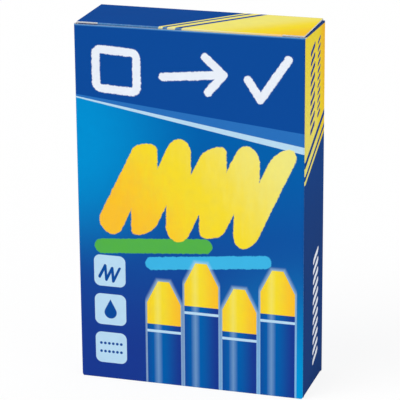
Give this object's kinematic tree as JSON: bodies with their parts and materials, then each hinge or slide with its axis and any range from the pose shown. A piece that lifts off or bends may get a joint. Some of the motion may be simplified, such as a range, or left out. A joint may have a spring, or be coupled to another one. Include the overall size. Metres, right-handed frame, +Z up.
{
  "type": "carton of marking crayons",
  "caption": "Upright printed paperboard tuck-end carton with hinged lids and dust flaps at both ends, packed with rows of yellow wax marking crayons in paper sleeves.",
  "frame": {"origin": "middle of the carton's base, on the surface that it stands on", "axes": "+Z up, along the crayons; the front panel faces -Y and the right panel faces +X"},
  "size_m": [0.076, 0.0254, 0.121],
  "materials": {
    "printed_board": "satin",
    "raw_board": "matte",
    "crayon_wax": "satin",
    "sleeve_paper": "matte"
  },
  "bodies": {
    "carton": {"front_panel": "printed_board", "back_panel": "printed_board", "left_panel": "printed_board", "right_panel": "printed_board", "glue_flap": "raw_board"},
    "top_lid": {"top_lid": "printed_board"},
    "top_tuck_flap": {"top_tuck_flap": "printed_board"},
    "top_dust_flap_left": {"top_dust_flap_left": "printed_board"},
    "top_dust_flap_right": {"top_dust_flap_right": "printed_board"},
    "bottom_lid": {"bottom_lid": "printed_board"},
    "bottom_tuck_flap": {"bottom_tuck_flap": "printed_board"},
    "bottom_dust_flap_left": {"bottom_dust_flap_left": "printed_board"},
    "bottom_dust_flap_right": {"bottom_dust_flap_right": "printed_board"},
    "crayon_01": {"crayon_01_wax": "crayon_wax", "crayon_01_sleeve": "sleeve_paper"},
    "crayon_02": {"crayon_02_wax": "crayon_wax", "crayon_02_sleeve": "sleeve_paper"},
    "crayon_03": {"crayon_03_wax": "crayon_wax", "crayon_03_sleeve": "sleeve_paper"},
    "crayon_04": {"crayon_04_wax": "crayon_wax", "crayon_04_sleeve": "sleeve_paper"},
    "crayon_05": {"crayon_05_wax": "crayon_wax", "crayon_05_sleeve": "sleeve_paper"},
    "crayon_06": {"crayon_06_wax": "crayon_wax", "crayon_06_sleeve": "sleeve_paper"},
    "crayon_07": {"crayon_07_wax": "crayon_wax", "crayon_07_sleeve": "sleeve_paper"},
    "crayon_08": {"crayon_08_wax": "crayon_wax", "crayon_08_sleeve": "sleeve_paper"},
    "crayon_09": {"crayon_09_wax": "crayon_wax", "crayon_09_sleeve": "sleeve_paper"},
    "crayon_10": {"crayon_10_wax": "crayon_wax", "crayon_10_sleeve": "sleeve_paper"},
    "crayon_11": {"crayon_11_wax": "crayon_wax", "crayon_11_sleeve": "sleeve_paper"},
    "crayon_12": {"crayon_12_wax": "crayon_wax", "crayon_12_sleeve": "sleeve_paper"}
  },
  "joints": [
    {"name": "top_lid_hinge", "type": "hinge", "parent": "carton", "child": "top_lid", "pos_m": [0, 0.01225, 0.121], "axis": [-1, 0, 0], "range_deg": [0, 120]},
    {"name": "top_tuck_crease", "type": "hinge", "parent": "top_lid", "child": "top_tuck_flap", "pos_m": [0, -0.0112, 0.12055], "axis": [1, 0, 0], "range_deg": [0, 48]},
    {"name": "top_dust_flap_left_crease", "type": "hinge", "parent": "carton", "child": "top_dust_flap_left", "pos_m": [-0.03755, 0, 0.1204], "axis": [0, -1, 0], "range_deg": [0, 66]},
    {"name": "top_dust_flap_right_crease", "type": "hinge", "parent": "carton", "child": "top_dust_flap_right", "pos_m": [0.03755, 0, 0.1204], "axis": [0, 1, 0], "range_deg": [0, 66]},
    {"name": "bottom_lid_hinge", "type": "hinge", "parent": "carton", "child": "bottom_lid", "pos_m": [0, -0.01225, 0], "axis": [-1, 0, 0], "range_deg": [0, 120]},
    {"name": "bottom_tuck_crease", "type": "hinge", "parent": "bottom_lid", "child": "bottom_tuck_flap", "pos_m": [0, 0.0112, 0.00045], "axis": [1, 0, 0], "range_deg": [0, 48]},
    {"name": "bottom_dust_flap_left_crease", "type": "hinge", "parent": "carton", "child": "bottom_dust_flap_left", "pos_m": [-0.03755, 0, 0.0006], "axis": [0, 1, 0], "range_deg": [0, 66]},
    {"name": "bottom_dust_flap_right_crease", "type": "hinge", "parent": "carton", "child": "bottom_dust_flap_right", "pos_m": [0.03755, 0, 0.0006], "axis": [0, -1, 0], "range_deg": [0, 66]},
    {"name": "crayon_01_lift", "type": "slide", "parent": "carton", "child": "crayon_01", "axis": [0, 0, 1], "range_m": [0, 0.0038]},
    {"name": "crayon_02_lift", "type": "slide", "parent": "carton", "child": "crayon_02", "axis": [0, 0, 1], "range_m": [0, 0.0038]},
    {"name": "crayon_03_lift", "type": "slide", "parent": "carton", "child": "crayon_03", "axis": [0, 0, 1], "range_m": [0, 0.0044]},
    {"name": "crayon_04_lift", "type": "slide", "parent": "carton", "child": "crayon_04", "axis": [0, 0, 1], "range_m": [0, 0.0044]},
    {"name": "crayon_05_lift", "type": "slide", "parent": "carton", "child": "crayon_05", "axis": [0, 0, 1], "range_m": [0, 0.0038]},
    {"name": "crayon_06_lift", "type": "slide", "parent": "carton", "child": "crayon_06", "axis": [0, 0, 1], "range_m": [0, 0.0038]},
    {"name": "crayon_07_lift", "type": "slide", "parent": "carton", "child": "crayon_07", "axis": [0, 0, 1], "range_m": [0, 0.0043]},
    {"name": "crayon_08_lift", "type": "slide", "parent": "carton", "child": "crayon_08", "axis": [0, 0, 1], "range_m": [0, 0.0043]},
    {"name": "crayon_09_lift", "type": "slide", "parent": "carton", "child": "crayon_09", "axis": [0, 0, 1], "range_m": [0, 0.0056]},
    {"name": "crayon_10_lift", "type": "slide", "parent": "carton", "child": "crayon_10", "axis": [0, 0, 1], "range_m": [0, 0.0056]},
    {"name": "crayon_11_lift", "type": "slide", "parent": "carton", "child": "crayon_11", "axis": [0, 0, 1], "range_m": [0, 0.0043]},
    {"name": "crayon_12_lift", "type": "slide", "parent": "carton", "child": "crayon_12", "axis": [0, 0, 1], "range_m": [0, 0.0043]}
  ],
  "couplings": [
    {"joint": "top_tuck_crease", "follows": "top_lid_hinge", "ratio": 0.4},
    {"joint": "top_dust_flap_left_crease", "follows": "top_lid_hinge", "ratio": 0.55},
    {"joint": "top_dust_flap_right_crease", "follows": "top_lid_hinge", "ratio": 0.55},
    {"joint": "bottom_tuck_crease", "follows": "bottom_lid_hinge", "ratio": 0.4},
    {"joint": "bottom_dust_flap_left_crease", "follows": "bottom_lid_hinge", "ratio": 0.55},
    {"joint": "bottom_dust_flap_right_crease", "follows": "bottom_lid_hinge", "ratio": 0.55}
  ]
}
